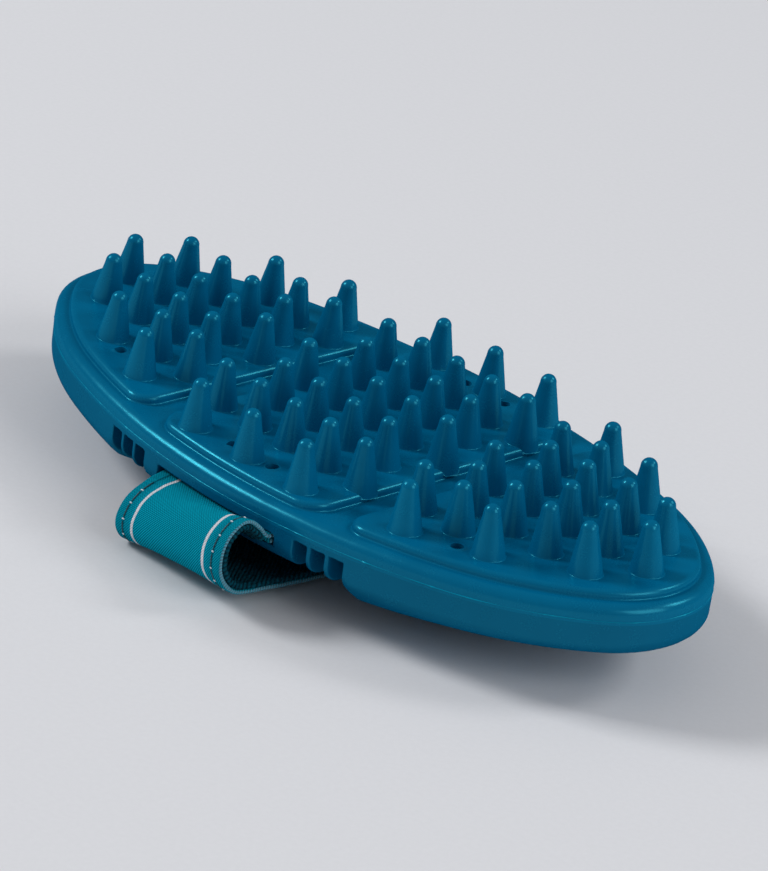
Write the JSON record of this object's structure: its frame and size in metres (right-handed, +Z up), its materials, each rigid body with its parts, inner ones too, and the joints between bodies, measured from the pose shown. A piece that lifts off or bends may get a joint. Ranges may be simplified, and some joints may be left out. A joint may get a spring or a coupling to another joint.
{
  "type": "rubber curry brush",
  "caption": "Oval rubber grooming brush with blunt cone teeth on three raised pads and a woven hand strap across its back.",
  "frame": {"origin": "centre of the footprint on the surface that the brush lies on, under the middle of the body", "axes": "+X along the brush's long axis, +Y towards its far long side, +Z up through the teeth"},
  "size_m": [0.1634, 0.1, 0.0324],
  "materials": {
    "body_rubber": "satin moulded rubber",
    "back_rubber": "satin moulded rubber",
    "core_plastic": "moulded plastic",
    "rod_steel": "drawn wire",
    "strap_weave": "fine woven ribbon",
    "strap_pile": "short looped pile",
    "thread": "sewing thread"
  },
  "bodies": {
    "brush": {"rubber_face": "body_rubber", "back_shell": "back_rubber", "core_plate": "core_plastic", "near_anchor_rod": "rod_steel", "far_anchor_rod": "rod_steel", "near_strap_hem": "strap_weave", "far_strap_hem": "strap_weave"},
    "strap": {"strap_ribbon": "strap_weave", "strap_lining": "strap_pile", "strap_stitching": "thread"}
  },
  "joints": [
    {"name": "strap_lift", "type": "slide", "parent": "brush", "child": "strap", "axis": [0, 0, 1], "range_m": [0, 0.005]}
  ]
}
